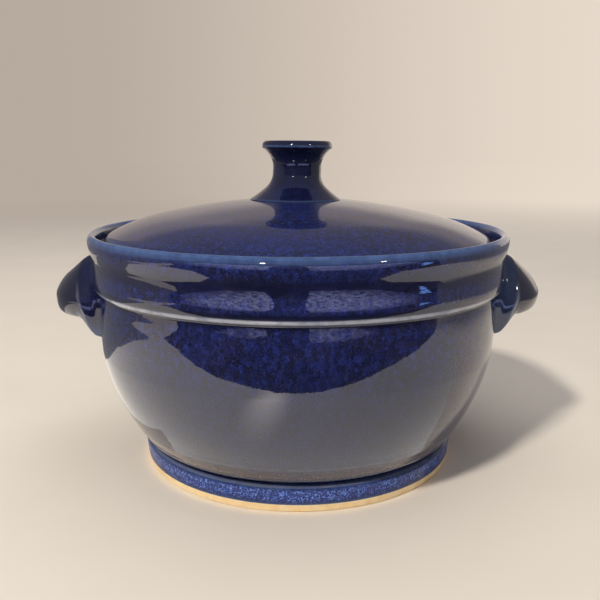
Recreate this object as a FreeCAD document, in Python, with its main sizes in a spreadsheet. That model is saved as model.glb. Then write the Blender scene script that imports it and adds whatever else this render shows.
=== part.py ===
"""Lidded stoneware casserole: a round pot on a turned foot ring, two pulled lug handles and a domed lid.

Frame: millimetres, +Z up, origin at the centre of the foot, handles along X.
Every round piece is an outline in the XZ plane turned about Z.
"""

import FreeCAD, Part
import math
import os

import Sketcher

# --- Driving dimensions -------------------------------------------------------------------------

WALL = 6.3               # thickness of the pot's wall
LID_WALL = 6.2           # thickness of the lid's dome
LIP_RADIUS = 120.0       # outermost radius of the pot's rolled lip
LIP_HEIGHT = 129.0       # crest of the lip above the table
FOOT_HEIGHT = 13.5       # top of the foot ring, where the pot's base meets it
SEAT_HEIGHT = 119.0      # the gallery, the ledge inside the lip that carries the lid
LID_CLEARANCE = 0.3      # air between the gallery and the lid's seat
LAND_HEIGHT = 145.7      # flat land on the lid that the knob is luted to
KNOB_HEIGHT = 180.0      # top of the knob above the table

# Corners of the turned outlines, (radius, height). Each one becomes a pair of sheet cells.
CORNERS = {
    # pot, outside, from the underside up to the lip
    "base_centre": (0.0, FOOT_HEIGHT),
    "groove_floor": (85.3, FOOT_HEIGHT),
    "groove_top": (85.3, 14.6),
    "body_edge": (88.9, 15.6),
    "body_foot": (90.4, 17.6),
    "body_belly": (111.8, 64.0),
    "body_shoulder": (113.7, 97.3),
    "bead_under": (113.9, 97.5),
    "bead_top": (116.9, 100.7),
    "collar_middle": (117.4, 108.5),
    "collar_upper": (117.6, 114.2),
    "cove_top": (118.2, 117.2),
    "lip_under": (119.4, 121.5),
    "lip_widest": (LIP_RADIUS, 124.8),
    "lip_crest": (118.0, LIP_HEIGHT),
    # pot, inside, from the lip down to the floor
    "lip_inside": (115.0, 126.6),
    "form_top": (0.0, 126.6),
    "gallery_wall": (114.0, SEAT_HEIGHT),
    "gallery_edge": (105.2, SEAT_HEIGHT),
    "gallery_under": (105.2, 111.0),
    "shoulder_inside": (113.7 - WALL, 96.0),
    "belly_inside": (111.8 - WALL, 65.0),
    "floor_edge": (76.0, 20.5),
    "floor_centre": (0.0, 20.5),
    # foot ring
    "ring_inner_foot": (78.6, 0.0),
    "ring_outer_foot": (86.4, 0.0),
    "ring_heel": (87.3, 0.8),
    "ring_glaze_line": (87.9, 3.8),
    "ring_shoulder": (88.8, 11.0),
    "ring_bevel": (86.9, 12.9),
    "ring_outer_top": (85.3, FOOT_HEIGHT),
    "ring_inner_top": (79.4, FOOT_HEIGHT),
    "ring_inner_heel": (77.6, 1.2),
    # lid, top surface from the knob's land out to the edge, then back along the underside
    "land_centre": (0.0, LAND_HEIGHT),
    "land_edge": (26.8, LAND_HEIGHT),
    "dome_haunch": (76.0, 138.2),
    "dome_rim": (107.4, 127.4),
    "lid_edge": (110.0, 123.6),
    "lid_heel": (108.4, SEAT_HEIGHT + LID_CLEARANCE),
    "seat_inner": (99.0, SEAT_HEIGHT + LID_CLEARANCE),
    "dome_inside_rim": (96.4, 121.0),
    "dome_inside_haunch": (74.5, 138.4 - LID_WALL),
    "dome_inside_land": (24.0, LAND_HEIGHT - LID_WALL),
    "dome_inside_top": (0.0, LAND_HEIGHT - LID_WALL),
    # knob
    "knob_seat_centre": (0.0, LAND_HEIGHT),
    "knob_seat_edge": (26.8, LAND_HEIGHT),
    "knob_hem": (25.9, 146.5),
    "knob_skirt": (18.2, 152.5),
    "knob_waist": (14.2, 160.0),
    "knob_neck": (14.2, 165.0),
    "knob_flare": (19.7, 175.2),
    "knob_lip": (20.5, 177.2),
    "knob_crown": (18.6, KNOB_HEIGHT),
    "knob_top_centre": (0.0, KNOB_HEIGHT),
}

# Radii of the round stretches between those corners.
ARCS = {
    "body_edge_arc": 3.0,
    "body_lower_arc": 112.0,
    "body_upper_arc": 290.0,
    "bead_arc": 3.9,
    "collar_round_arc": 28.0,
    "collar_waist_arc": 70.0,
    "lip_cove_arc": 15.0,
    "lip_roll_arc": 10.5,
    "lip_top_arc": 4.4,
    "lip_inside_arc": 3.2,
    "bowl_inside_arc": 66.0,
    "heel_arc": 1.2,
    "ring_top_arc": 2.1,
    "dome_arc": 440.0,
    "dome_rim_arc": 120.0,
    "lid_edge_arc": 5.0,
    "lid_heel_arc": 5.0,
    "dome_inside_arc": 434.0,
    "dome_inside_rim_arc": 50.0,
    "knob_skirt_arc": 60.0,
    "knob_cove_arc": 12.0,
    "knob_flare_arc": 12.5,
    "knob_lip_arc": 1.6,
    "knob_crown_arc": 2.6,
}

# The lug handle: oval sections strung along a half ellipse that stands out from the wall.
HANDLE = {
    "lug_root_reach": 104.0,      # x of the two roots, inside the wall
    "lug_arch_depth": 30.4,       # how far the middle of the arch stands beyond the roots
    "lug_half_span": 28.0,        # y of each root
    "lug_root_height": 93.5,      # z of a root section's centre
    "lug_middle_height": 93.0,    # z of the middle section's centre
    "lug_root_half_width": 22.0,  # half height of the strap where it is wiped onto the wall
    "lug_middle_half_width": 12.2,
    "lug_root_half_thickness": 5.4,
    "lug_middle_half_thickness": 7.0,
}
LUG_SECTIONS = 9                  # oval sections from one root to the other
LUG_LEAN = 18.0                   # degrees the middle section's top leans towards the pot

# --- Outlines: (corner, arc to the next corner, side the arc bulges to) --------------------------
# +1 bulges to the left of the direction of travel, -1 to the right, None is a straight run.

POT_OUTSIDE = [
    ("base_centre", None, None),
    ("groove_floor", None, None),
    ("groove_top", None, None),
    ("body_edge", "body_edge_arc", -1),
    ("body_foot", "body_lower_arc", -1),
    ("body_belly", "body_upper_arc", -1),
    ("body_shoulder", None, None),
    ("bead_under", "bead_arc", -1),
    ("bead_top", "collar_round_arc", -1),
    ("collar_middle", "collar_waist_arc", +1),
    ("collar_upper", "lip_cove_arc", +1),
    ("cove_top", None, None),
    ("lip_under", "lip_roll_arc", -1),
    ("lip_widest", "lip_top_arc", -1),
    ("lip_crest", "lip_inside_arc", -1),
]
POT_FORM = POT_OUTSIDE + [("lip_inside", None, None), ("form_top", None, None)]
POT_INSIDE = [
    ("lip_inside", None, None),
    ("gallery_wall", None, None),
    ("gallery_edge", None, None),
    ("gallery_under", None, None),
    ("shoulder_inside", None, None),
    ("belly_inside", "bowl_inside_arc", +1),
    ("floor_edge", None, None),
    ("floor_centre", None, None),
]
FOOT_RING = [
    ("ring_inner_foot", None, None),
    ("ring_outer_foot", "heel_arc", -1),
    ("ring_heel", None, None),
    ("ring_glaze_line", None, None),
    ("ring_shoulder", "ring_top_arc", -1),
    ("ring_bevel", None, None),
    ("ring_outer_top", None, None),
    ("ring_inner_top", None, None),
    ("ring_inner_heel", None, None),
]
LID = [
    ("land_centre", None, None),
    ("land_edge", "dome_arc", +1),
    ("dome_haunch", "dome_rim_arc", +1),
    ("dome_rim", "lid_edge_arc", +1),
    ("lid_edge", "lid_heel_arc", +1),
    ("lid_heel", None, None),
    ("seat_inner", None, None),
    ("dome_inside_rim", "dome_inside_rim_arc", -1),
    ("dome_inside_haunch", "dome_inside_arc", -1),
    ("dome_inside_land", None, None),
    ("dome_inside_top", None, None),
]
KNOB = [
    ("knob_seat_centre", None, None),
    ("knob_seat_edge", None, None),
    ("knob_hem", "knob_skirt_arc", +1),
    ("knob_skirt", "knob_cove_arc", +1),
    ("knob_waist", None, None),
    ("knob_neck", "knob_flare_arc", +1),
    ("knob_flare", "knob_lip_arc", -1),
    ("knob_lip", "knob_crown_arc", -1),
    ("knob_crown", None, None),
    ("knob_top_centre", None, None),
]


def fill_sheet(doc):
    """Put every dimension in the sheet, one row each: a label, and the number under its alias."""
    sheet = doc.addObject("Spreadsheet::Sheet", "Dims")
    cells = dict(ARCS, **HANDLE)
    for corner, (radius, height) in CORNERS.items():
        cells[corner + "_radius"] = radius
        cells[corner + "_height"] = height
    for row, (alias, value) in enumerate(cells.items(), start=1):
        sheet.set("A%d" % row, alias)
        sheet.set("B%d" % row, repr(value))
        sheet.setAlias("B%d" % row, alias)
    doc.recompute()
    return sheet


def arc_between(start, end, radius, side):
    """The shorter arc of that radius from start to end, bulging to one side of the way there.

    It is drawn anticlockwise, as a sketch keeps its arcs, so one that bulges left starts at its end.
    """
    chord = end.sub(start)
    if chord.Length > 2 * radius:
        raise ValueError("radius %g is too small for a chord of %g" % (radius, chord.Length))
    left = FreeCAD.Vector(-chord.y, chord.x, 0).normalize()
    rise = radius - math.sqrt(radius * radius - chord.Length ** 2 / 4)
    crown = (start + end) * 0.5 + left * (side * rise)
    return Part.Arc(start, crown, end) if side < 0 else Part.Arc(end, crown, start)


def bind(sketch, constraint, name, alias):
    """Add a dimension to a sketch and tie it to its cell."""
    sketch.addConstraint(constraint)
    sketch.renameConstraint(sketch.ConstraintCount - 1, name)
    sketch.setExpression("Constraints." + name, "Dims." + alias)


def hold_corner(sketch, sheet, edge, end, corner):
    """Fix one end of an edge at a named corner, measured from the axis and the table."""
    for direction, size, axis in (("X", "radius", -2), ("Y", "height", -1)):
        alias = "%s_%s" % (corner, size)
        value = float(sheet.get(alias))
        if value == 0:
            sketch.addConstraint(Sketcher.Constraint("PointOnObject", edge, end, axis))
        else:
            distance = Sketcher.Constraint("Distance" + direction, -1, 1, edge, end, value)
            bind(sketch, distance, alias, alias)


def draw_outline(sketch, sheet, outline):
    """Draw a closed outline of lines and arcs, fully dimensioned from the sheet."""
    def place(corner):
        radius, height = (float(sheet.get(corner + "_" + size)) for size in ("radius", "height"))
        return FreeCAD.Vector(radius, height, 0)

    ends = []
    for index, (corner, arc, side) in enumerate(outline):
        start = place(corner)
        end = place(outline[(index + 1) % len(outline)][0])
        if arc:
            edge = sketch.addGeometry(arc_between(start, end, float(sheet.get(arc)), side))
        else:
            edge = sketch.addGeometry(Part.LineSegment(start, end))
        ends.append((edge, 2, 1) if arc and side > 0 else (edge, 1, 2))
    for index, (corner, arc, _) in enumerate(outline):
        edge, first, last = ends[index]
        following, following_first, _ = ends[(index + 1) % len(outline)]
        sketch.addConstraint(Sketcher.Constraint("Coincident", edge, last, following, following_first))
        hold_corner(sketch, sheet, edge, first, corner)
        if arc:
            radius = Sketcher.Constraint("Radius", edge, float(sheet.get(arc)))
            bind(sketch, radius, arc, arc)


def turned_body(doc, sheet, name, outline):
    """A body made on the wheel: an outline in the XZ plane turned all the way about Z."""
    body = doc.addObject("PartDesign::Body", name)
    body.Label = name
    plane = next(item for item in body.Origin.OriginFeatures if item.Role == "XZ_Plane")
    sketch = body.newObject("Sketcher::SketchObject", name + "_outline")
    sketch.AttachmentSupport = (plane, [""])
    sketch.MapMode = "FlatFace"
    draw_outline(sketch, sheet, outline)
    turning = body.newObject("PartDesign::Revolution", name + "_turning")
    turning.Profile = sketch
    turning.ReferenceAxis = (sketch, ["V_Axis"])
    turning.Angle = 360.0
    body.Tip = turning
    doc.recompute()
    return body


def lug_section(doc, sheet, index):
    """One oval of the lug on the -X side, square to the arch that the strap follows."""
    def size(name):
        return float(sheet.get("lug_" + name))

    turn = math.pi * (index / (LUG_SECTIONS - 1) - 0.5)     # -90 degrees at one root, +90 at the other
    middle = math.cos(turn)                                 # 0 at the roots, 1 in the middle
    centre = FreeCAD.Vector(
        -(size("root_reach") + size("arch_depth") * middle),
        size("half_span") * math.sin(turn),
        size("root_height") + (size("middle_height") - size("root_height")) * middle,
    )
    along = FreeCAD.Vector(size("arch_depth") * math.sin(turn), size("half_span") * middle, 0).normalize()
    outward = along.cross(FreeCAD.Vector(0, 0, 1)) * -1
    lean = math.radians(LUG_LEAN) * middle
    upright = FreeCAD.Vector(0, 0, math.cos(lean)) - outward * math.sin(lean)
    across = along.cross(upright)
    oval = doc.addObject("Part::Ellipse", "lug_section_%d" % index)
    blend = "%.6f" % middle ** 0.8
    for prop, root, mid in (
        ("MajorRadius", "Dims.lug_root_half_width", "Dims.lug_middle_half_width"),
        ("MinorRadius", "Dims.lug_root_half_thickness", "Dims.lug_middle_half_thickness"),
    ):
        oval.setExpression(prop, "%s + (%s - %s) * %s" % (root, mid, root, blend))
    rotation = FreeCAD.Rotation(upright, across, along, "ZXY")
    oval.Placement = FreeCAD.Placement(centre, rotation)
    return oval


def lug_handle(doc, sheet, form):
    """The -X handle: the strap through its sections, trimmed to the outside of the pot."""
    strap = doc.addObject("Part::Loft", "lug_strap")
    strap.Sections = [lug_section(doc, sheet, index) for index in range(LUG_SECTIONS)]
    strap.Solid = True
    strap.Ruled = False
    handle = doc.addObject("Part::Cut", "handle_left")
    handle.Base = strap
    handle.Tool = form
    handle.Label = "handle_left"
    return handle


def check(doc, pieces):
    """Stop if any object failed, or any piece has no valid solid."""
    for item in doc.Objects:
        if {"Invalid", "Error"} & set(item.State):
            raise RuntimeError("%s failed: %s" % (item.Name, item.State))
    for piece in pieces:
        shape = piece.Shape
        if shape.isNull() or not shape.isValid() or len(shape.Solids) != 1:
            raise RuntimeError("%s is not one valid solid" % piece.Label)


def main():
    doc = FreeCAD.newDocument("casserole")
    sheet = fill_sheet(doc)

    # The pot's full form, solid to the axis, shapes the handles' feet; it isn't a piece itself.
    form = turned_body(doc, sheet, "pot_form", POT_FORM)
    pot = turned_body(doc, sheet, "pot_body", POT_OUTSIDE + POT_INSIDE)
    ring = turned_body(doc, sheet, "foot_ring", FOOT_RING)
    lid = turned_body(doc, sheet, "lid_cover", LID)
    knob = turned_body(doc, sheet, "lid_knob", KNOB)

    left = lug_handle(doc, sheet, form)
    right = doc.addObject("Part::Mirroring", "handle_right")
    right.Source = left
    right.Base = FreeCAD.Vector(0, 0, 0)
    right.Normal = FreeCAD.Vector(1, 0, 0)
    right.Label = "handle_right"
    doc.recompute()

    pieces = [pot, ring, left, right, lid, knob]
    check(doc, pieces)
    os.makedirs("parts", exist_ok=True)
    for piece in pieces:
        piece.Shape.exportStep("parts/%s.step" % piece.Label)
        print("%-14s %9.1f mm3" % (piece.Label, piece.Shape.Volume))


main()
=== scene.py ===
"""Lidded stoneware casserole in a cobalt glaze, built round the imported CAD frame."""
import math

import bpy
import numpy as np
from mathutils import Euler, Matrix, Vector


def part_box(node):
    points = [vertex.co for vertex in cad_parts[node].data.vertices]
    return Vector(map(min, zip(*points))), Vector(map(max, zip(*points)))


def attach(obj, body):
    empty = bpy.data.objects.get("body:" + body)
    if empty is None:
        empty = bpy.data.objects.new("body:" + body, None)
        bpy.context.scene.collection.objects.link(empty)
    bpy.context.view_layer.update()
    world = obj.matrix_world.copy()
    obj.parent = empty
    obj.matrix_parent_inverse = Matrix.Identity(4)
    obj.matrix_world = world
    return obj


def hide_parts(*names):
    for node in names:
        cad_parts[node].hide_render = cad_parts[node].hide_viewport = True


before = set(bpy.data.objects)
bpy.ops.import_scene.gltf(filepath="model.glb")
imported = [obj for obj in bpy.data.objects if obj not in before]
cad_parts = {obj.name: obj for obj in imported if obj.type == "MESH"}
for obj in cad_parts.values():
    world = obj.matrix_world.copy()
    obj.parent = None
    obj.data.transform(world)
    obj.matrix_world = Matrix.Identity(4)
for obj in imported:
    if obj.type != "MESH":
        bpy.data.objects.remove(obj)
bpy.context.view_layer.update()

MM = 0.001
TAU = 2 * math.pi


def extent(node):
    """(widest radius, bottom, top) of a turned CAD piece, in millimetres."""
    low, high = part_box(node)
    return high.x / MM, low.z / MM, high.z / MM


POT_R, POT_BOTTOM, POT_TOP = extent("pot_body")
_, RING_BOTTOM, RING_TOP = extent("foot_ring")
LID_R, LID_BOTTOM, _ = extent("lid_cover")
_, KNOB_BOTTOM, KNOB_TOP = extent("lid_knob")


# --- Outlines ------------------------------------------------------------------------------------

FINE = 0.12                     # spacing of the points that an outline is worked out on, mm
ROW_TURN = math.radians(5)      # how far an outline turns between two rows of the mesh
AXIS = 0.05                     # nearer to the axis than this, mm, a row of the mesh is one point


def arc_points(start, end, radius, side, step):
    """Points after start up to end on an arc that bulges left (+1) or right (-1) of the way there."""
    chord = end - start
    length = np.hypot(*chord)
    left = np.array([-chord[1], chord[0]]) / length
    centre = (start + end) / 2 - left * side * math.sqrt(max(radius ** 2 - length ** 2 / 4, 0.0))
    first = math.atan2(*(start - centre)[::-1])
    sweep = -side * 2 * math.asin(min(length / (2 * radius), 1.0))
    count = max(3, math.ceil(radius * abs(sweep) / step))
    angles = first + sweep * np.arange(1, count + 1) / count
    return centre + radius * np.stack([np.cos(angles), np.sin(angles)], 1)


def travelled(points):
    """How far along the outline each point lies."""
    return np.concatenate([[0], np.cumsum(np.hypot(*np.diff(points, axis=0).T))])


def at_distances(distances, along, points):
    """The places on the outline at some distances along it."""
    return np.stack([np.interp(distances, along, points[:, k]) for k in range(2)], 1)


def softened(points, soften):
    """Evenly spaced points blurred along their run, with both ends kept where they are."""
    reach = int(3 * soften / FINE) + 1
    kernel = np.exp(-0.5 * (np.arange(-reach, reach + 1) * FINE / soften) ** 2)
    kernel /= kernel.sum()
    before = 2 * points[0] - points[reach:0:-1]
    after = 2 * points[-1] - points[-2:-reach - 2:-1]
    padded = np.concatenate([before, points, after])
    return np.stack([np.convolve(padded[:, k], kernel, "valid") for k in range(2)], 1)


def outline(corners, soften=0.35, longest=3.0):
    """Points along a turned outline. A corner is (radius, height) before a straight run to the next corner,
    or (radius, height, arc radius, side) before an arc. soften rounds every corner, as glaze does. Points lie
    close together where the outline turns, and at most longest apart where it runs straight."""
    spots = [np.array(corner[:2], float) for corner in corners]
    points = [spots[0]]
    for corner, start, end in zip(corners, spots, spots[1:]):
        if len(corner) == 4:
            points.extend(arc_points(start, end, corner[2], corner[3], FINE))
        else:
            count = max(1, math.ceil(np.hypot(*(end - start)) / FINE))
            points.extend(start + (end - start) * k / count for k in range(1, count + 1))
    points = np.array(points)
    along = travelled(points)
    count = int(along[-1] / FINE)
    smooth = softened(at_distances(np.linspace(0, along[-1], count), along, points), soften)
    runs = np.diff(smooth, axis=0)
    heading = np.unwrap(np.arctan2(runs[:, 1], runs[:, 0]))
    turned_so_far = np.concatenate([[0, 0], np.cumsum(np.abs(np.diff(heading)))])
    progress = turned_so_far / ROW_TURN + travelled(smooth) / longest
    keep = np.unique(np.concatenate([[0], np.flatnonzero(np.diff(np.floor(progress))) + 1, [count - 1]]))
    return smooth[keep]


def convexity(points, reach_mm=2.5):
    """How sharply the outline turns outwards at each point, per millimetre, looking reach_mm either way."""
    along = travelled(points)
    before = at_distances(along - reach_mm, along, points)
    after = at_distances(along + reach_mm, along, points)
    one, two = points - before, after - points
    cross = one[:, 0] * two[:, 1] - one[:, 1] * two[:, 0]
    dot = (one * two).sum(1)
    return np.arctan2(cross, dot) / reach_mm


# --- Meshes --------------------------------------------------------------------------------------

def new_piece(name, verts, faces, attributes, materials, face_slots, body, nodes):
    """A smooth-shaded object from millimetre vertices that rides on a body in place of CAD nodes."""
    mesh = bpy.data.meshes.new(name)
    mesh.from_pydata((np.asarray(verts) * MM).tolist(), [], faces)
    for key, values in attributes.items():
        mesh.attributes.new(key, "FLOAT", "POINT").data.foreach_set("value", np.asarray(values, np.float32))
    for material in materials:
        mesh.materials.append(material)
    mesh.polygons.foreach_set("material_index", np.asarray(face_slots, np.int32))
    mesh.polygons.foreach_set("use_smooth", np.ones(len(mesh.polygons), bool))
    mesh.update()
    piece = bpy.data.objects.new(name, mesh)
    bpy.context.scene.collection.objects.link(piece)
    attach(piece, body)
    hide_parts(*nodes)
    return piece


def turned(points, segments, throw):
    """Vertices, faces, row of each vertex and row of each face of an outline turned about Z.

    throw(radius, height, angle) gives the thrown clay's small departures, (dr, dz), in millimetres."""
    angles = np.arange(segments) * TAU / segments
    verts, rows, first = [], [], []
    for row, (radius, height) in enumerate(points):
        first.append(len(verts))
        turn = angles if radius > AXIS else angles[:1]
        dr, dz = throw(np.full(len(turn), radius), np.full(len(turn), height), turn)
        reach = (radius + dr) if radius > AXIS else 0 * turn
        verts.extend(np.stack([reach * np.cos(turn), reach * np.sin(turn), height + dz], 1))
        rows.extend([row] * len(turn))
    faces, face_rows = [], []
    for row in range(len(points) - 1):
        a, b = first[row], first[row + 1]
        for k in range(segments):
            n = (k + 1) % segments
            if points[row][0] <= AXIS:
                faces.append((a, b + n, b + k))
            elif points[row + 1][0] <= AXIS:
                faces.append((a + k, a + n, b))
            else:
                faces.append((a + k, a + n, b + n, b + k))
            face_rows.append(row)
    return np.array(verts), faces, np.array(rows), np.array(face_rows)


POOLING = 3.0                   # how readily glaze pools where the outline turns inwards, per (1 / mm)


def turned_piece(name, points, throw, materials, slot_of, marks, body, node, segments=192):
    """A turned piece with a material for each stretch, and its glaze's thin and pooled places, painted shade
    and painted highlights marked.

    marks(radius, height, bend) gives the attributes of the outline's points."""
    verts, faces, rows, face_rows = turned(points, segments, throw)
    bend = convexity(points)
    marked = marks(*points.T, bend)
    marked["pool"] = np.maximum(np.clip(-bend * POOLING, 0, 1), marked.get("pool", 0))
    attributes = {key: values[rows] for key, values in marked.items()}
    middles = (points[:-1] + points[1:]) / 2
    slots = np.array([slot_of(*middle) for middle in middles])[face_rows]
    return new_piece(name, verts, faces, attributes, materials, slots, body, [node])


def between(value, low, high, blur):
    """1 from low to high, fading to 0 over blur either side."""
    return np.clip((value - low) / blur + 1, 0, 1) * np.clip((high - value) / blur + 1, 0, 1)


# --- Materials -----------------------------------------------------------------------------------

class Nodes:
    """A short way to write the nodes of a material or world."""

    def __init__(self, owner):
        owner.use_nodes = True
        self.owner = owner
        self.tree = owner.node_tree
        self.shader = self.tree.nodes.get("Principled BSDF")
        self.place = self.add("ShaderNodeTexCoord").outputs["Object"]

    def add(self, kind, **settings):
        node = self.tree.nodes.new(kind)
        for key, value in settings.items():
            setattr(node, key, value)
        return node

    def plug(self, socket, value):
        if isinstance(value, bpy.types.NodeSocket):
            self.tree.links.new(value, socket)
        else:
            socket.default_value = value

    def stretch(self, scale):
        node = self.add("ShaderNodeMapping")
        self.plug(node.inputs["Vector"], self.place)
        node.inputs["Scale"].default_value = scale
        return node.outputs["Vector"]

    def noise(self, size_mm, detail=3.0, roughness=0.5, distortion=0.0, where=None):
        node = self.add("ShaderNodeTexNoise")
        self.plug(node.inputs["Vector"], where or self.place)
        node.inputs["Scale"].default_value = 1 / (size_mm * MM)
        node.inputs["Detail"].default_value = detail
        node.inputs["Roughness"].default_value = roughness
        node.inputs["Distortion"].default_value = distortion
        return node.outputs["Fac"]

    def remap(self, value, low, high, to_low=0.0, to_high=1.0):
        node = self.add("ShaderNodeMapRange", interpolation_type="SMOOTHSTEP")
        self.plug(node.inputs["Value"], value)
        for key, number in (("From Min", low), ("From Max", high), ("To Min", to_low), ("To Max", to_high)):
            node.inputs[key].default_value = number
        return node.outputs["Result"]

    def math(self, operation, first, second=0.0, clamp=False):
        node = self.add("ShaderNodeMath", operation=operation, use_clamp=clamp)
        self.plug(node.inputs[0], first)
        self.plug(node.inputs[1], second)
        return node.outputs[0]

    def mix(self, factor, first, second):
        node = self.add("ShaderNodeMix", data_type="RGBA")
        self.plug(node.inputs["Factor"], factor)
        self.plug(node.inputs[6], first)
        self.plug(node.inputs[7], second)
        return node.outputs[2]

    def along(self, vector, axis):
        node = self.add("ShaderNodeSeparateXYZ")
        self.plug(node.inputs[0], vector)
        return node.outputs[axis]

    def distance(self, vector):
        node = self.add("ShaderNodeVectorMath", operation="LENGTH")
        self.plug(node.inputs[0], vector)
        return node.outputs["Value"]

    def attribute(self, name):
        return self.add("ShaderNodeAttribute", attribute_name=name).outputs["Fac"]

    def bump(self, height, depth_mm, normal=None):
        node = self.add("ShaderNodeBump")
        node.inputs["Distance"].default_value = depth_mm * MM
        self.plug(node.inputs["Height"], height)
        if normal:
            self.plug(node.inputs["Normal"], normal)
        return node.outputs["Normal"]


def rgb(red, green, blue):
    return (red, green, blue, 1.0)


def cobalt_glaze(name, crystals, gloss):
    """Deep cobalt under a gloss: mottled royal blue, grey-blue where thin, near black where it pools,
    darkened with painted shade where marked thick, and pale with painted highlights along edges and ridges.

    crystals is how thickly pale crystals have grown in the marked band, and gloss how strong the gloss is."""
    n = Nodes(bpy.data.materials.new(name))
    clouds = n.remap(n.noise(36, 2.0, 0.5, 0.6), 0.36, 0.66)
    lively = n.math("SUBTRACT", 1.0, n.math("MULTIPLY", n.attribute("thick"), 0.8))
    blots = n.noise(2.6, 4.0, 0.65, 0.3, n.stretch((1.0, 1.0, 0.75)))
    mottle = n.math("MULTIPLY", n.remap(blots, 0.42, 0.66), lively)
    speckle = n.math("MULTIPLY", n.remap(n.noise(0.8, 2.0, 0.6), 0.48, 0.66), lively)
    colour = n.mix(clouds, rgb(0.0036, 0.0054, 0.029), rgb(0.0052, 0.0092, 0.056))
    colour = n.mix(n.math("MULTIPLY", mottle, 0.62), colour, rgb(0.0080, 0.0165, 0.135))
    patchy = n.math("ADD", n.math("MULTIPLY", mottle, 0.54), 0.10)
    colour = n.mix(n.math("MULTIPLY", speckle, patchy), colour, rgb(0.026, 0.060, 0.36))
    dust = n.math("MULTIPLY", n.remap(n.noise(0.45, 1.0), 0.50, 0.70), n.math("MULTIPLY", lively, 0.11))
    colour = n.mix(dust, colour, rgb(0.17, 0.18, 0.24))
    # Near black where marked thick: painted shade over the knob, the handles and the pot low down, over the
    # bead and under the lip.
    colour = n.mix(n.math("MULTIPLY", n.attribute("thick"), 0.75), colour, rgb(0.0040, 0.0052, 0.020))
    # Near black where the glaze pools in hollows; under the knob's edge this darkening is painted shade.
    colour = n.mix(n.math("MULTIPLY", n.attribute("pool"), 0.85), colour, rgb(0.0024, 0.0042, 0.022))
    if crystals:
        gathered = n.remap(n.noise(2.6, 2.0), 0.36, 0.62, 0.30, 1.0)
        clumps = n.math("MULTIPLY", n.remap(n.noise(0.75, 1.0, 0.5), 0.44, 0.66), gathered)
        band = n.attribute("band")
        colour = n.mix(n.math("MULTIPLY", band, 0.85), colour, rgb(0.005, 0.017, 0.17))
        sown = n.math("MULTIPLY", n.math("MULTIPLY", clumps, band), crystals)
        colour = n.mix(sown, colour, rgb(0.16, 0.31, 0.90))
    uneven = n.remap(n.noise(5.0, 3.0), 0.25, 0.7, 0.55, 1.0)
    thin = n.math("MULTIPLY", n.attribute("thin"), uneven, clamp=True)
    colour = n.mix(thin, colour, rgb(0.062, 0.120, 0.29))
    # Pale lines along edges and ridges: painted highlights, where the glaze also breaks thin.
    uneven = n.remap(n.noise(7.0, 3.0), 0.3, 0.6, 0.55, 1.0)
    broken = n.math("MULTIPLY", n.attribute("broken"), uneven, clamp=True)
    colour = n.mix(broken, colour, rgb(0.42, 0.46, 0.56))
    n.plug(n.shader.inputs["Base Color"], colour)
    n.plug(n.shader.inputs["Roughness"], n.remap(mottle, 0.0, 1.0, 0.30, 0.42))
    n.plug(n.shader.inputs["Normal"], n.bump(n.noise(2.2, 2.0), 0.006, n.bump(n.noise(13, 2.0), 0.06)))
    n.plug(n.shader.inputs["Coat Normal"], n.bump(n.noise(0.9, 1.0), 0.0045, n.bump(n.noise(13, 2.0), 0.05)))
    n.shader.inputs["IOR"].default_value = 1.5
    n.shader.inputs["Specular IOR Level"].default_value = 0.08
    n.shader.inputs["Coat Weight"].default_value = gloss
    n.shader.inputs["Coat Roughness"].default_value = 0.012
    n.shader.inputs["Coat IOR"].default_value = 1.80
    return n.owner


def clay(name):
    """Bare buff stoneware, matt, with fine grog."""
    n = Nodes(bpy.data.materials.new(name))
    colour = n.mix(n.remap(n.noise(6, 4.0), 0.3, 0.7), rgb(0.93, 0.68, 0.36), rgb(1.0, 0.82, 0.50))
    grog = n.remap(n.noise(0.6, 2.0), 0.62, 0.72)
    colour = n.mix(n.math("MULTIPLY", grog, 0.5), colour, rgb(0.36, 0.20, 0.10))
    n.plug(n.shader.inputs["Base Color"], colour)
    n.plug(n.shader.inputs["Roughness"], n.remap(n.noise(3.0), 0.3, 0.7, 0.75, 0.9))
    n.plug(n.shader.inputs["Normal"], n.bump(n.noise(0.8, 3.0), 0.08))
    return n.owner


GLAZE = cobalt_glaze("cobalt_glaze", 0.0, 1.0)
FOOT_GLAZE = cobalt_glaze("flecked_foot_glaze", 1.0, 0.38)
CLAY = clay("bare_buff_clay")


# --- Pot, foot ring, lid and knob ----------------------------------------------------------------

GLAZE_LINE = 3.8                # the glaze on the foot ring stops this far above the table
GROOVE = 85.3                   # radius of the groove between the pot and its foot ring
LIP_CREST = 118.0
SEAT = 119.0                    # height of the ledge inside the lip that the lid lies on
FLOOR = 20.5                    # height of the pot's floor inside
CROWN = 139.5                   # height of the lid's hollow under the knob

# Corners of the turned outlines, as outline() reads them, in millimetres.
POT_OUTSIDE = [
    (0.0, POT_BOTTOM), (GROOVE, POT_BOTTOM), (GROOVE, 14.6), (88.9, 15.6, 3.0, -1), (90.4, 17.6, 112, -1),
    (111.8, 64.0, 290, -1), (113.7, 97.3), (113.9, 97.5, 3.9, -1), (116.85, 100.7, 60, -1),
    (117.4, 104.6, 60, -1), (117.4, 108.5, 70, 1), (117.65, 114.2, 15, 1), (118.2, 117.2),
    (119.4, 121.5, 10.5, -1), (POT_R - 0.2, 124.4, 4.4, -1), (LIP_CREST, POT_TOP),
]
POT_INSIDE = [
    (LIP_CREST, POT_TOP, 3.2, -1), (115.0, 126.6), (114.0, SEAT), (105.2, SEAT), (105.2, 111.0),
    (107.4, 96.0), (105.5, 65.0, 66, 1), (76.0, FLOOR), (0.0, FLOOR),
]
FOOT_RING = [
    (79.4, RING_TOP), (77.6, 1.2), (78.6, RING_BOTTOM), (86.4, RING_BOTTOM, 1.2, -1), (87.3, 0.8),
    (87.9, GLAZE_LINE), (88.8, 11.0, 2.1, -1), (86.9, 12.9), (GROOVE, RING_TOP), (79.4, RING_TOP),
]
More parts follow.
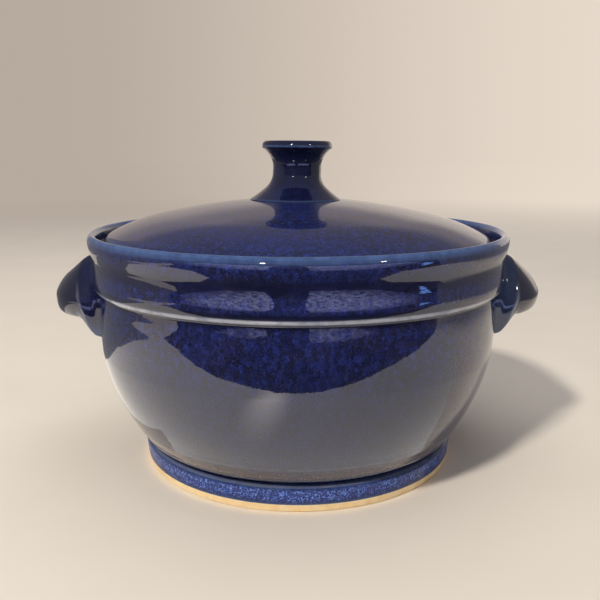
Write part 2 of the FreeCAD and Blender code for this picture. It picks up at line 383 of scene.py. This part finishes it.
LID = [
    (0.0, CROWN), (24.0, CROWN, 434, 1), (74.5, 132.2, 50, 1), (96.4, 121.0), (99.0, LID_BOTTOM),
    (108.4, LID_BOTTOM, 5.0, -1), (LID_R, 123.6, 5.0, -1), (107.4, 127.4, 120, -1), (76.0, 138.2, 440, -1),
    (26.8, KNOB_BOTTOM), (0.0, KNOB_BOTTOM),
]
KNOB = [
    (0.0, KNOB_BOTTOM), (26.9, KNOB_BOTTOM), (26.0, 146.5, 60, 1), (18.2, 152.5, 12, 1), (14.2, 160.0),
    (14.2, 165.0, 12.5, 1), (19.7, 175.2, 1.6, -1), (20.5, 177.2, 2.6, -1), (18.6, KNOB_TOP),
    (0.0, KNOB_TOP - 0.6),
]

DIP = 0.008                     # how far the lid dips to one side, per millimetre from its middle


def no_throw(radius, height, angle):
    """The foot ring runs true."""
    return 0 * angle, 0 * angle


def pot_throw(radius, height, angle):
    """The pot leans a little to one side at the waist, is a shade oval and keeps one ridge of its turning."""
    lean = 0.45 * np.clip((height - 17) / 18, 0, 1) * np.clip((100 - height) / 40, 0, 1)
    ridge = 0.22 * np.exp(-((height - 24) / 1.0) ** 2) * (radius > 80) * (0.6 + 0.4 * np.cos(angle + 1.2))
    oval = 0.2 * np.cos(2 * angle + 0.8) * np.clip((height - 17) / 30, 0, 1)
    return ridge + oval - lean * np.cos(angle), 0 * angle


def lid_throw(radius, height, angle):
    """The lid lies a little out of true, lower on the right."""
    upper = np.clip((height - 120) / 4, 0, 1)
    return 0.15 * np.cos(2 * angle) * radius / LID_R, -DIP * np.cos(angle) * radius * upper


def knob_throw(radius, height, angle):
    """The knob was set down a little off the lid's middle and stands a little off upright."""
    aside = 1.5 - 1.0 * np.clip((height - 146) / 18, 0, 1)
    return -aside * np.cos(angle), -DIP * np.cos(angle) * radius


def pot_marks(radius, height, bend):
    """Glaze thins over the lip. Pale lines are painted on its crest, the bead, the turned ridge and the hem
    above the foot as highlights, where the glaze breaks thin, and the collar's hollows and the body low down
    are darkened as painted shade."""
    outside = radius > 86
    # Pale lines at the bead, the hem, the turned ridge and the crest: painted highlights.
    bead = between(height, 98.9, 99.9, 0.9) * (radius > 112)
    hem = between(height, 15.3, 15.8, 0.5) * outside
    ridge = between(height, 23.8, 24.2, 0.6) * outside
    crest = between(radius, 117.3, 117.7, 0.4) * (height > 128)
    # Darker low down, over the bead and under the lip: painted shade.
    low_down = 0.5 * between(height, 0, 58, 26)
    over_bead = between(height, 100.9, 102.6, 0.7)
    under_lip = 0.7 * between(height, 112, 117.5, 2.0)
    return {"thin": np.clip(bend * 3.0, 0, 1) * between(height, 126.0, 130, 1.7),
            "broken": 0.8 * bead + 0.30 * hem + 0.12 * ridge + 0.48 * crest,
            "thick": outside * np.max([low_down, over_bead, under_lip], axis=0)}


def ring_marks(radius, height, bend):
    """Crystals crowd round the ring above a thin lighter line where the glaze ends."""
    last_of_glaze = between(height, GLAZE_LINE, GLAZE_LINE + 0.6, 0.5)
    bevel = between(height, 11.6, 13.0, 0.6)
    # A pale line near the ring's top edge is a painted highlight.
    return {"band": between(height, GLAZE_LINE + 2.6, 10.6, 1.5), "thin": 0.9 * last_of_glaze + 0.3 * bevel,
            "broken": 0.22 * between(height, 12.4, 12.8, 0.4)}


def lid_marks(radius, height, bend):
    """Glaze thins at the lid's rim."""
    return {"thin": 0.8 * np.clip(bend * 2.2, 0, 1) * between(height, 120, 126, 1)}


def knob_marks(radius, height, bend):
    """Glaze thins on the knob's edge and hem; the knob is darkened all over, most near the top, and near
    black under the edge, as painted shade.
    """
    edge = between(height, 176.4, 177.2, 0.4) * (radius > 15)
    hem = between(height, 145.8, 146.4, 0.3) * (radius > 24)
    # Darker all over, most near the top, and near black under the edge: painted shade.
    return {"thin": 0.7 * (edge + 0.5 * hem), "thick": 0.6 + 0.4 * between(height, 167, 180, 5),
            "pool": between(height, 168.5, 175.6, 2.0) * (radius > 12)}


# The glaze is left off (1) under the base, on the ring's foot and inside it, and where the lid rests.
BARE_INSIDE = 82                # radius
turned_piece("casserole_pot", outline(POT_OUTSIDE + POT_INSIDE), pot_throw, [GLAZE, CLAY],
             lambda r, z: int(z < 14.2 and r < BARE_INSIDE), pot_marks, "pot", "pot_body")
turned_piece("turned_foot_ring", outline(FOOT_RING, 0.25, 2.0), no_throw, [FOOT_GLAZE, CLAY],
             lambda r, z: int(z < GLAZE_LINE or r < BARE_INSIDE), ring_marks,
             "pot", "foot_ring")
turned_piece("domed_lid", outline(LID), lid_throw, [GLAZE, CLAY],
             lambda r, z: int(z < 119.6), lid_marks, "lid", "lid_cover")
turned_piece("waisted_knob", outline(KNOB, 0.3, 1.5), knob_throw, [GLAZE],
             lambda r, z: 0, knob_marks, "lid", "lid_knob")


# --- Handles -------------------------------------------------------------------------------------

WALL = outline(POT_OUTSIDE)
WALL = WALL[(WALL[:, 1] > 16) & (WALL[:, 1] < 121)]


def wall_radius(height):
    """The pot's outside radius at a height."""
    return np.interp(height, WALL[:, 1], WALL[:, 0])


class Pull:
    """The measures that make one pulled handle differ from the other, in millimetres."""

    def __init__(self, side, reach, above, swell, below, thick, ridge, thin):
        self.side = side            # -1 left, 1 right
        self.reach = reach          # from the strap's buried ends to its middle
        self.above = above          # the strap's upper half height, at the wall and at its middle
        self.swell = swell          # how late the upper half height falls off
        self.below = below          # the strap's lower half height, at the wall and at its middle
        self.thick = thick          # half thickness at the wall and at the middle
        self.ridge = ridge          # how strong the painted highlight along the ridges is, 0 to 1
        self.thin = thin            # how pale the near faces are painted, as a painted reflection, 0 to 1


ENDS_AT = 107.0                 # the strap's ends lie inside the wall, this far from the axis
HALF_SPAN = 28.0                # and this far either side of the middle
BURIED = 9.0                    # and bend inwards this much further,
DEEPEST = 3.0                   # but stay this close to the wall's outside, so that they don't show inside
STRAP_HEIGHT = 92.0
STRAP_LEAN = math.radians(26)   # the top leans in at the middle
RIDGE_AT = 64.0                 # a thumb pressed each end back to the wall from this far round, in degrees
PRESSED = 2.6                   # how deep it pressed
SQUARER = 2 / 1.95              # power that makes the half ring a little squarer than an ellipse
FLARE = 1.0                     # how far the clay wiped on to the wall stands out at the join


def ease(value, low, high):
    """0 below low, 1 above high, and smooth between."""
    t = np.clip((value - low) / (high - low), 0, 1)
    return t * t * (3 - 2 * t)


def lug(name, node, pull, stations=150, around=88):
    """A pulled strap bent into a half ring, pressed and wiped on to the wall at both ends."""
    turn = np.linspace(-0.5, 0.5, stations)[:, None] * math.pi
    angle = np.arange(around)[None, :] * TAU / around
    degrees = np.degrees(np.abs(turn))
    middle = np.cos(turn)
    into_wall = BURIED * np.clip((degrees - 80) / 10, 0, 1) ** 1.5
    out_from_axis = ENDS_AT + pull.reach * middle ** SQUARER - into_wall
    aside = HALF_SPAN * np.sign(turn) * np.abs(np.sin(turn)) ** SQUARER
    centre = np.stack([out_from_axis, aside, STRAP_HEIGHT + 0 * turn], -1)
    tangent = np.stack([-pull.reach * np.sin(turn), HALF_SPAN * middle, 0 * turn], -1)
    tangent /= np.linalg.norm(tangent, axis=-1, keepdims=True)
    outward = np.stack([tangent[..., 1], -tangent[..., 0], 0 * turn], -1)
    up = np.stack([0 * turn, 0 * turn, 0 * turn + 1], -1)
    lean = STRAP_LEAN * middle ** 1.2
    upright = up * np.cos(lean)[..., None] - outward * np.sin(lean)[..., None]
    across = outward * np.cos(lean)[..., None] + up * np.sin(lean)[..., None]
    narrowed = np.clip((middle - 0.4) / 0.6, 0, 1) ** pull.swell
    above = pull.above[0] + (pull.above[1] - pull.above[0]) * narrowed
    narrowed = ease(middle, 0.15, 0.52)
    below = pull.below[0] + (pull.below[1] - pull.below[0]) * narrowed - 4 * ease(degrees, 82, 90)
    high = np.sign(np.cos(angle)) * np.abs(np.cos(angle)) ** 0.95
    out = np.sin(angle)
    tapered = 1 - 0.33 * np.clip((-high - 0.1) / 0.9, 0, 1) ** 1.5
    ridge_at = RIDGE_AT - 9 * high
    pressed = PRESSED * np.clip((degrees - ridge_at) / 13, 0, 1) * np.clip(out * 1.6, 0, 1)
    thick = (pull.thick[0] + (pull.thick[1] - pull.thick[0]) * middle) * tapered * out - pressed
    offset = upright * (np.where(high > 0, above, below) * high)[..., None] + across * thick[..., None]
    points = centre + offset
    gap = np.hypot(points[..., 0], points[..., 1]) - wall_radius(points[..., 2])
    flare = FLARE * np.exp(-np.abs(gap) / 1.4)
    points = points + offset / np.linalg.norm(offset, axis=-1, keepdims=True) * flare[..., None]
    deepest = wall_radius(points[..., 2]) - DEEPEST
    points[..., :2] *= np.maximum(1, deepest / np.hypot(points[..., 0], points[..., 1]))[..., None]
    points[..., 0] *= pull.side
    verts = points.reshape(-1, 3)
    faces = []
    for s in range(stations - 1):
        for k in range(around):
            n = (k + 1) % around
            quad = (s * around + k, s * around + n, (s + 1) * around + n, (s + 1) * around + k)
            faces.append(quad if pull.side > 0 else quad[::-1])
    ends = [tuple(range(around)), tuple(range((stations - 1) * around, stations * around))[::-1]]
    faces.extend(end[::-1] if pull.side > 0 else end for end in ends)
    # A pale line painted along each ridge where the strap bends: a painted highlight.
    ridge = np.exp(-((degrees - ridge_at) / 1.3) ** 2) * np.clip(out, 0, 1) * ease(-high, -0.5, 0.3)
    # Paler on the lobe's underside, and the near faces painted paler by pull.thin as a painted reflection.
    underside = 0.45 * ease(-high, 0.45, 0.95) * ease(degrees, 55, 68)
    thin = np.maximum(underside, pull.thin * ease(degrees, ridge_at - 4, ridge_at + 4))
    pool = 0.8 * np.clip(1 - np.abs(gap) / 2.5, 0, 1)
    # Darkened along the whole strap and most across its middle: painted shade.
    painted_strap_shade = 0.6 + 0.4 * ease(middle, 0.40, 0.55) + 0 * angle
    attributes = {"broken": pull.ridge * ridge.ravel(), "thin": thin.ravel(), "pool": pool.ravel(),
                  "thick": painted_strap_shade.ravel()}
    return new_piece(name, verts, faces, attributes, [GLAZE], [0] * len(faces), "pot", [node])


lug("pulled_lug_left", "handle_left", Pull(-1, 27.3, (24.1, 14.5), 1.6, (20.5, 10.8), (6.4, 7.2), 0.45, 0.0))
lug("pulled_lug_right", "handle_right", Pull(1, 26.0, (24.7, 16.7), 2.0, (18.5, 9.2), (6.5, 7.9), 0.85, 0.36))


# --- Stage ---------------------------------------------------------------------------------------

# Glows of the surroundings, from the horizon up, and of the shade that the gloss mirrors.
HORIZON_LEFT = (0.47, 0.40, 0.345)
HORIZON_RIGHT = (0.80, 0.70, 0.60)
SHOULDER = (0.37, 0.315, 0.275)
UPPER = (0.18, 0.165, 0.16)
ZENITH = (0.15, 0.16, 0.22)
SHADE = (0.20, 0.19, 0.20)
MURK = (0.10, 0.09, 0.26)       # what a cluttered glow dies down to


def left_to_right(n, direction):
    """The pale surroundings' colour for a horizontal direction: dimmer to the left, brighter to the right."""
    return n.mix(n.remap(n.along(direction, "X"), -0.35, 0.45), rgb(*HORIZON_LEFT), rgb(*HORIZON_RIGHT))


def glowing(name, lit=rgb(0, 0, 0)):
    """The nodes of a stage material that glows by itself and mirrors nothing."""
    n = Nodes(bpy.data.materials.new(name))
    n.plug(n.shader.inputs["Base Color"], rgb(0, 0, 0))
    n.plug(n.shader.inputs["Emission Color"], lit)
    n.shader.inputs["Emission Strength"].default_value = 1.0
    n.shader.inputs["Specular IOR Level"].default_value = 0.0
    return n


def floor_material():
    """A plain pale floor that melts into the surroundings far away, so that no horizon shows."""
    n = glowing("pale_floor")
    heading = n.add("ShaderNodeVectorMath", operation="NORMALIZE")
    n.plug(heading.inputs[0], n.place)
    far = n.remap(n.distance(n.place), 0.45, 2.3)
    tone = n.mix(n.remap(n.noise(90, 3.0), 0.3, 0.7), rgb(0.83, 0.765, 0.665), rgb(0.85, 0.785, 0.685))
    away = left_to_right(n, heading.outputs["Vector"])
    n.plug(n.shader.inputs["Base Color"], n.mix(far, tone, rgb(0, 0, 0)))
    n.plug(n.shader.inputs["Emission Color"], n.mix(far, rgb(0, 0, 0), away))
    n.shader.inputs["Roughness"].default_value = 0.8
    return n.owner


def rising(name, low_colour, high_colour, top):
    """A glow that changes from the floor up to top metres."""
    n = glowing(name)
    n.plug(n.shader.inputs["Emission Color"],
           n.mix(n.remap(n.along(n.place, "Z"), 0.0, top), rgb(*low_colour), rgb(*high_colour)))
    return n.owner


def cluttered(name, dark, light, size, dimming=None):
    """An uneven glow, as of a room full of things out of focus; size is in metres. dimming is where it dies
    down towards the pot: the depths, along Y, at which it is full and nearly dark."""
    n = glowing(name)
    things = n.mix(n.remap(n.noise(size / MM, 3.0, 0.6), 0.36, 0.64), rgb(*dark), rgb(*light))
    if dimming:
        things = n.mix(n.remap(n.along(n.place, "Y"), *dimming, 0.0, 0.8), things, rgb(*MURK))
    n.plug(n.shader.inputs["Emission Color"], things)
    return n.owner


def floor_glow():
    """What the gloss mirrors of the floor close by: brighter than the floor, most to the left, and fading."""
    n = glowing("floor_glow")
    tone = n.mix(n.remap(n.along(n.place, "X"), -0.15, 0.20), rgb(1.08, 1.0, 0.90), rgb(0.74, 0.70, 0.64))
    n.plug(n.shader.inputs["Emission Color"], tone)
    reach = n.distance(n.place)
    seen = n.math("MULTIPLY", n.remap(reach, 0.088, 0.100), n.remap(reach, 0.24, 0.50, 1.0, 0.0))
    n.plug(n.shader.inputs["Alpha"], seen)
    return n.owner


def fading_shade():
    """The shade on the right, which the floor's glow fades into."""
    n = glowing("fading_shade", rgb(*SHADE))
    n.plug(n.shader.inputs["Alpha"], n.remap(n.along(n.place, "X"), 0.34, 0.47))
    return n.owner


def floor_spot(centre, size):
    """A soft bright spot on the floor in front, which the gloss mirrors low on the pot."""
    n = glowing("floor_spot", rgb(2.5, 2.3, 2.2))
    squeezed = n.add("ShaderNodeMapping", vector_type="TEXTURE")
    n.plug(squeezed.inputs["Vector"], n.place)
    squeezed.inputs["Location"].default_value = centre
    squeezed.inputs["Scale"].default_value = size
    n.plug(n.shader.inputs["Alpha"], n.remap(n.distance(squeezed.outputs["Vector"]), 0.0, 1.0, 0.9, 0.0))
    return n.owner


def card(name, verts, faces, material, mirrored_only=True, lights=False):
    """A stage card, in metres. One that is mirrored only may still colour the light that falls on the pot."""
    mesh = bpy.data.meshes.new(name)
    mesh.from_pydata(verts, [], faces)
    mesh.materials.append(material)
    made = bpy.data.objects.new(name, mesh)
    bpy.context.scene.collection.objects.link(made)
    if mirrored_only:
        made.visible_camera = False
        made.visible_diffuse = lights
        made.visible_shadow = False


def floor_card(name, corners, material, height=0.0006):
    """A mirror-only card that lies on the floor."""
    card(name, [(x, y, height) for x, y in corners], [tuple(range(len(corners)))], material)


def bearing(azimuth, elevation, distance):
    """A place seen from the pot's foot; azimuth 0 is towards the camera and grows to the right."""
    a, e = math.radians(azimuth), math.radians(elevation)
    away = Vector((math.sin(a) * math.cos(e), -math.cos(a) * math.cos(e), math.sin(e)))
    return away * distance


def screen(name, first, last, top, material, distance=2.4, steps=24):
    """An upright screen round the pot, from one azimuth to another, that the camera doesn't see."""
    turns = [first + (last - first) * k / steps for k in range(steps + 1)]
    feet = [bearing(turn, 0, distance) for turn in turns]
    verts = [tuple(foot) for foot in feet] + [(foot.x, foot.y, top) for foot in feet]
    faces = [(k, k + 1, steps + 2 + k, steps + 1 + k) for k in range(steps)]
    card(name, verts, faces, material, lights=True)


FAR = 9                         # half the floor's width
card("floor", [(-FAR, -FAR, 0), (FAR, -FAR, 0), (FAR, FAR, 0), (-FAR, FAR, 0)], [(0, 1, 2, 3)],
     floor_material(), mirrored_only=False)

# What the gloss mirrors: the pale floor runs on to the sides, but stops like a shelf in front of the pot.
# Beyond that edge the room is dim, with a lighter patch of floor either side of the middle and a blue gleam
# on the right.
SHELF_FRONT = -0.224
SPOT = (-0.036, -0.190, 0.0)    # middle of the bright spot on the floor
SPOT_SIZE = (0.034, 0.090, 1.0)
ROOM = 2.7                      # how far the room reaches
DIM = cluttered("dim_room", (0.002, 0.002, 0.005), (0.070, 0.050, 0.062), 0.16)
BLACK = cluttered("dark_room", (0.001, 0.001, 0.003), (0.020, 0.014, 0.018), 0.05)
DUSK = rising("dusky_room", (0.05, 0.05, 0.06), (0.16, 0.16, 0.19), 0.7)
SLATE = glowing("shade", rgb(*SHADE)).owner
AZURE = cluttered("window_gleam", (0.10, 0.22, 0.80), (1.0, 2.1, 5.5), 0.02)
LIT = cluttered("lit_room", (0.14, 0.16, 0.46), (1.25, 1.30, 2.10), 0.024, (-0.50, -0.34))
floor_card("bright_floor", [(-0.6, SHELF_FRONT - 0.01), (0.4, SHELF_FRONT - 0.01), (0.4, -0.055),
                            (-0.10, -0.055), (-0.16, 0.15), (-0.6, 0.15)], floor_glow(), 0.0003)
floor_card("floor_spot", [(-0.09, SHELF_FRONT), (0.01, SHELF_FRONT), (0.01, -0.10), (-0.09, -0.10)],
           floor_spot(SPOT, SPOT_SIZE), 0.0005)
floor_card("room_floor", [(-ROOM, -ROOM), (ROOM, -ROOM), (ROOM, -0.12), (0.36, -0.15),
                          (0.21, SHELF_FRONT + 0.021), (0.14, SHELF_FRONT + 0.006), (0.05, SHELF_FRONT),
                          (-0.09, SHELF_FRONT + 0.001), (-0.15, SHELF_FRONT + 0.014),
                          (-0.20, SHELF_FRONT + 0.023), (-0.27, -0.186), (-0.347, -0.156), (-0.375, -0.225),
                          (-0.42, -0.27), (-ROOM, -0.30)], DIM)
floor_card("room_front_edge", [(-0.060, SHELF_FRONT), (0.062, SHELF_FRONT), (0.075, -0.27), (0.060, -0.30),
                               (-0.050, -0.31), (-0.075, -0.27)], BLACK, 0.0009)
floor_card("lit_patch_left", [(-0.80, -0.85), (-0.13, -0.85), (-0.105, -0.41), (-0.16, -0.385),
                              (-0.30, -0.35), (-0.47, -0.31)], LIT, 0.0012)
floor_card("window_gleam", [(0.36, -0.245), (0.40, -0.232), (0.50, -0.235), (0.47, -0.30), (0.42, -0.27)],
           AZURE, 0.0014)
floor_card("lit_patch_right", [(0.035, -0.85), (0.75, -0.60), (0.50, -0.31), (0.2, -0.36), (0.035, -0.39)],
           LIT, 0.0012)
floor_card("shade_left", [(-0.353, -0.10), (-0.34, -0.02), (-0.29, 0.06), (-0.22, 0.105), (-0.175, 0.14),
                          (-0.16, 0.25), (-0.40, 0.30), (-0.44, 0.02), (-0.40, -0.035)], SLATE)
floor_card("far_left", [(-0.45, -0.30), (-0.452, -0.02), (-0.41, 0.03), (-0.40, 1.4), (-ROOM, 1.4),
                        (-ROOM, -0.30)], SLATE, 0.0004)
floor_card("far_right", [(0.34, -0.15), (ROOM, -0.95), (ROOM, 1.4), (0.34, 1.4)], fading_shade(), 0.0008)
screen("room_front", -64, 70, 2.6, DUSK)
screen("room_left", -150, -64, 2.0, SLATE)
screen("room_right", 70, 128, 2.0, SLATE)


MIDDLE = (0, 0, 0.10)           # of the pot


def area_light(name, place, size, power, colour, mirrored=True):
    """A square lamp, size metres wide, that shines at the middle of the pot with a power in watts."""
    data = bpy.data.lights.new(name, "AREA")
    data.size = size
    data.energy = power
    data.color = colour
    lamp = bpy.data.objects.new(name, data)
    lamp.location = place
    lamp.rotation_euler = (Vector(MIDDLE) - Vector(place)).to_track_quat("-Z", "Y").to_euler()
    lamp.visible_camera = False
    lamp.visible_glossy = mirrored
    bpy.context.scene.collection.objects.link(lamp)


area_light("key", bearing(-31, 44, 3.0), 0.26, 62, (1.0, 0.94, 0.86), mirrored=False)
area_light("overhead", (0.0, 0.1, 1.9), 1.8, 12.0, (1.0, 0.97, 0.93), mirrored=False)
for number, (azimuth, power) in enumerate(((-17.6, 1.8), (42, 0.8))):
    area_light("lamp_%d" % number, bearing(azimuth, 20, 1.9), 0.08, power, (1.0, 0.95, 0.9))


def surroundings():
    """Even pale surroundings that fall off in steps, first on the bright right side, to a dim ceiling."""
    n = Nodes(bpy.data.worlds.new("surroundings"))
    direction = n.add("ShaderNodeTexCoord").outputs["Generated"]
    height = n.along(direction, "Z")
    colour = n.mix(n.remap(height, 0.20, 0.34), left_to_right(n, direction), rgb(*SHOULDER))
    colour = n.mix(n.remap(height, 0.39, 0.51), colour, rgb(*UPPER))
    colour = n.mix(n.remap(height, 0.62, 0.85), colour, rgb(*ZENITH))
    n.plug(n.tree.nodes["Background"].inputs["Color"], colour)
    return n.owner


bpy.context.scene.world = surroundings()
bpy.context.scene.view_settings.view_transform = "Standard"

# --- Camera --------------------------------------------------------------------------------------

PITCH = 4.0                     # degrees below level
CAMERA_PLACE = (0.0, -0.4281, 0.1752)
camera_data = bpy.data.cameras.new("camera")
camera_data.sensor_width = 36.0
camera_data.lens = 43.74
camera_data.shift_x = 0.0032
camera_data.shift_y = -1 / 6
camera = bpy.data.objects.new("camera", camera_data)
camera.location = CAMERA_PLACE
camera.rotation_euler = Euler((math.radians(90 - PITCH), 0, 0))
bpy.context.scene.collection.objects.link(camera)
bpy.context.scene.camera = camera
